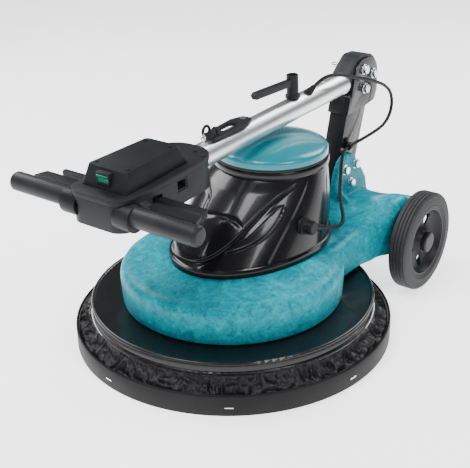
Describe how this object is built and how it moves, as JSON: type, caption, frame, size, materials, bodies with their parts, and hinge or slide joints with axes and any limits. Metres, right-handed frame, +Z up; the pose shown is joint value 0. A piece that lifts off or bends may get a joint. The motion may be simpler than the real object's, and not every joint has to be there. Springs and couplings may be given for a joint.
{
  "type": "single-disc floor machine",
  "caption": "Rotary floor machine with disc pad, floating dust ring, belt drive under a motor cover, transport wheels and a hinged handle folded forward over the motor.",
  "frame": {"origin": "centre of the pad's working face, on the floor", "axes": "+Z up, -Y the front, +Y towards the wheels and mast, X across the machine"},
  "size_m": [0.6, 0.8592, 0.4527],
  "materials": {
    "casting_paint": "satin",
    "black_gloss": "glossy",
    "lid_teal": "glossy",
    "dark_plastic": "matte",
    "steel": "brushed",
    "zinc": "bright",
    "aluminium": "satin",
    "iron": "rough",
    "copper": "varnished",
    "mast_paint": "satin",
    "deck_paint": "glossy",
    "ring_plastic": "matte",
    "grip_rubber": "satin",
    "knuckle_plastic": "satin",
    "switch_green": "glossy",
    "tyre_rubber": "matte",
    "rubber": "matte",
    "red_rubber": "matte",
    "pale_plastic": "satin",
    "rim_plastic": "satin",
    "pad_fibre": "open",
    "skirt_cloth": "gathered"
  },
  "bodies": {
    "chassis": {"chassis_casting": "casting_paint", "deck_plate": "deck_paint", "chassis_screws": "zinc", "spindle_housing": "iron", "spindle_bearings": "steel", "drive_belt": "rubber", "motor_can": "mast_paint", "motor_stator": "copper", "motor_bearings": "steel", "run_capacitor": "pale_plastic", "motor_cover": "black_gloss", "cover_lid": "lid_teal", "lid_seal": "rubber", "motor_socket": "dark_plastic", "axle": "steel", "axle_clips": "steel", "arm_buffer": "red_rubber", "mast_channel": "mast_paint", "mast_bracket": "mast_paint", "mast_bolts": "zinc", "mast_washers": "zinc", "pivot_hub": "steel", "cable_clip": "dark_plastic", "motor_plug": "rubber", "motor_cord": "rubber"},
    "pad_drive": {"drive_spindle": "steel", "spindle_pulley": "aluminium", "pad_driver": "dark_plastic", "floor_pad": "pad_fibre", "pad_lock": "pale_plastic"},
    "rotor": {"motor_rotor": "iron", "motor_pulley": "aluminium"},
    "ring": {"dust_ring": "ring_plastic", "dust_skirt": "skirt_cloth"},
    "wheel_right": {"tyre_right": "tyre_rubber", "rim_right": "rim_plastic", "hub_cap_right": "rim_plastic"},
    "wheel_left": {"tyre_left": "tyre_rubber", "rim_left": "rim_plastic", "hub_cap_left": "rim_plastic"},
    "handle": {"knuckle_left": "knuckle_plastic", "knuckle_right": "knuckle_plastic", "handle_tube": "aluminium", "tube_screws": "zinc", "head_lower": "dark_plastic", "head_upper": "dark_plastic", "switch_box": "dark_plastic", "switch_bezel": "rubber", "hand_grips": "grip_rubber", "lever_pins": "steel", "head_screws": "zinc", "microswitch": "dark_plastic", "mains_inlet": "rubber", "cord_grommet": "rubber"},
    "hook": {"cable_hook": "dark_plastic"},
    "clip": {"strain_clip": "dark_plastic"},
    "rocker": {"rocker_switch": "switch_green"},
    "lever_right": {"switch_lever_right": "dark_plastic"},
    "lever_left": {"switch_lever_left": "dark_plastic"},
    "paddle": {"safety_paddle": "dark_plastic"}
  },
  "joints": [
    {"name": "pad_spin", "type": "hinge", "parent": "chassis", "child": "pad_drive", "pos_m": [0, 0, 0.1], "axis": [0, 0, 1], "continuous": true},
    {"name": "rotor_spin", "type": "hinge", "parent": "chassis", "child": "rotor", "pos_m": [0, 0.131, 0.2], "axis": [0, 0, 1], "continuous": true},
    {"name": "ring_float", "type": "slide", "parent": "chassis", "child": "ring", "axis": [0, 0, 1], "range_m": [0, 0.015], "deforming": ["dust_skirt"]},
    {"name": "wheel_right_spin", "type": "hinge", "parent": "chassis", "child": "wheel_right", "pos_m": [0.2, 0.355, 0.1015], "axis": [1, 0, 0], "continuous": true},
    {"name": "wheel_left_spin", "type": "hinge", "parent": "chassis", "child": "wheel_left", "pos_m": [-0.2, 0.355, 0.1015], "axis": [1, 0, 0], "continuous": true},
    {"name": "handle_fold", "type": "hinge", "parent": "chassis", "child": "handle", "pos_m": [0, 0.443, 0.394], "axis": [-1, 0, 0], "range_deg": [0, 140], "deforming": ["motor_cord"]},
    {"name": "hook_swivel", "type": "hinge", "parent": "handle", "child": "hook", "pos_m": [0, 0.20175, 0.42034], "axis": [0, -0.0401, 0.9992], "range_deg": [0, 180]},
    {"name": "clip_turn", "type": "hinge", "parent": "handle", "child": "clip", "pos_m": [0, 0.04328, 0.40397], "axis": [0, -0.0401, 0.9992], "range_deg": [-15, 15]},
    {"name": "rocker_tilt", "type": "hinge", "parent": "handle", "child": "rocker", "pos_m": [0, -0.3072, 0.40891], "axis": [1, 0, 0], "range_deg": [0, 4]},
    {"name": "lever_right_squeeze", "type": "hinge", "parent": "handle", "child": "lever_right", "pos_m": [0.05, -0.25644, 0.36591], "axis": [0, 0.0401, -0.9992], "range_deg": [0, 6], "stiffness_Nm_per_rad": 2, "springref_deg": -5.73},
    {"name": "lever_left_squeeze", "type": "hinge", "parent": "handle", "child": "lever_left", "pos_m": [-0.05, -0.25644, 0.36591], "axis": [0, -0.0401, 0.9992], "range_deg": [0, 6], "stiffness_Nm_per_rad": 2, "springref_deg": -5.73},
    {"name": "paddle_press", "type": "hinge", "parent": "handle", "child": "paddle", "pos_m": [0, -0.30176, 0.3731], "axis": [1, 0, 0], "range_deg": [0, 8], "stiffness_Nm_per_rad": 1, "springref_deg": -11.46}
  ],
  "couplings": [
    {"joint": "rotor_spin", "follows": "pad_spin", "ratio": 2}
  ]
}
